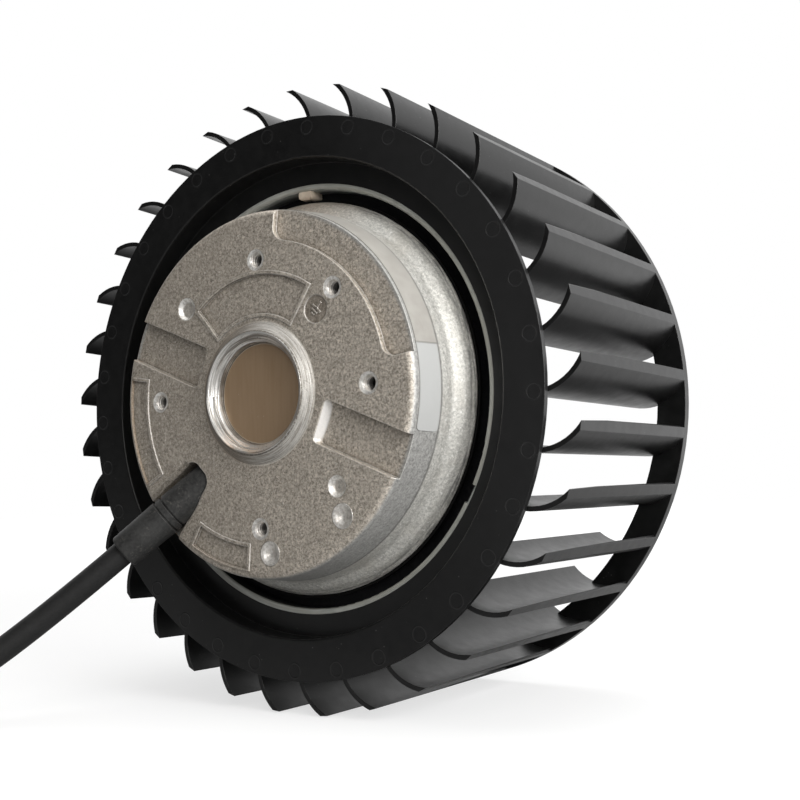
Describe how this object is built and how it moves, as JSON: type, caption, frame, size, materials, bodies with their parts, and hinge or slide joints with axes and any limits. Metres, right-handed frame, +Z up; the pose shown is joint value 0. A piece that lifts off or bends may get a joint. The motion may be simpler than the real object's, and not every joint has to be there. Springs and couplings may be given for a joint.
{
  "type": "centrifugal fan",
  "caption": "Forward-curved drum impeller on an external-rotor motor, with a round cast mounting flange and a cable that leaves it through a boot.",
  "frame": {"origin": "centre of the mounting flange's outer face, on the motor axis", "axes": "-Y out of the flange's face, +Y along the motor axis to the impeller's inlet, +Z up as the fan lies on its blades"},
  "size_m": [0.1426, 0.2033, 0.14],
  "materials": {
    "cast_alloy": "as-cast, faintly speckled",
    "cap_brown": "smooth satin",
    "label_grey": "satin film",
    "seal_rubber": "matte",
    "core_steel": "stacked laminations",
    "insulator_white": "matte",
    "copper_wire": "enamelled copper",
    "protector_black": "matte",
    "lead_colours": "soft sheath",
    "terminal_tin": "tinned",
    "screw_zinc": "zinc plated",
    "spring_steel": "bright",
    "cup_zinc": "galvanised sheet",
    "cage_cast": "cast",
    "shaft_steel": "ground",
    "bush_steel": "turned",
    "bearing_steel": "ground and polished",
    "cage_polymer": "matte",
    "shield_steel": "bright sheet",
    "tab_beige": "matte",
    "impeller_black": "satin moulded",
    "boot_black": "matte",
    "cable_black": "matte extruded",
    "ferrule_tin": "tinned"
  },
  "bodies": {
    "stator": {"stator_flange": "cast_alloy", "bearing_cap": "cap_brown", "side_label": "label_grey", "seal_ring": "seal_rubber", "stator_core": "core_steel", "end_insulator_front": "insulator_white", "end_insulator_rear": "insulator_white", "windings": "copper_wire", "thermal_protector": "protector_black", "lead_wires": "lead_colours", "earth_terminal": "terminal_tin", "earth_screw": "screw_zinc", "preload_spring": "spring_steel", "cable_boot": "boot_black", "cable_in_boot": "cable_black", "cable": "cable_black", "cable_coil": "cable_black", "cable_cores": "lead_colours", "core_ferrules": "ferrule_tin", "bearing_front_outer_ring": "bearing_steel", "bearing_front_balls": "bearing_steel", "bearing_front_cage": "cage_polymer", "bearing_front_shields": "shield_steel", "bearing_rear_outer_ring": "bearing_steel", "bearing_rear_balls": "bearing_steel", "bearing_rear_cage": "cage_polymer", "bearing_rear_shields": "shield_steel"},
    "rotor": {"rotor_cup": "cup_zinc", "rotor_core": "core_steel", "rotor_cage": "cage_cast", "shaft": "shaft_steel", "hub_bush": "bush_steel", "shaft_circlip": "spring_steel", "bearing_front_inner_ring": "bearing_steel", "bearing_rear_inner_ring": "bearing_steel", "balance_tab": "tab_beige", "impeller_backplate": "impeller_black", "impeller_sleeve": "impeller_black", "impeller_blades": "impeller_black", "inlet_ring": "impeller_black"}
  },
  "joints": [
    {"name": "rotor_spin", "type": "hinge", "parent": "stator", "child": "rotor", "pos_m": [0, 0.0365, 0], "axis": [0, 1, 0], "continuous": true}
  ]
}
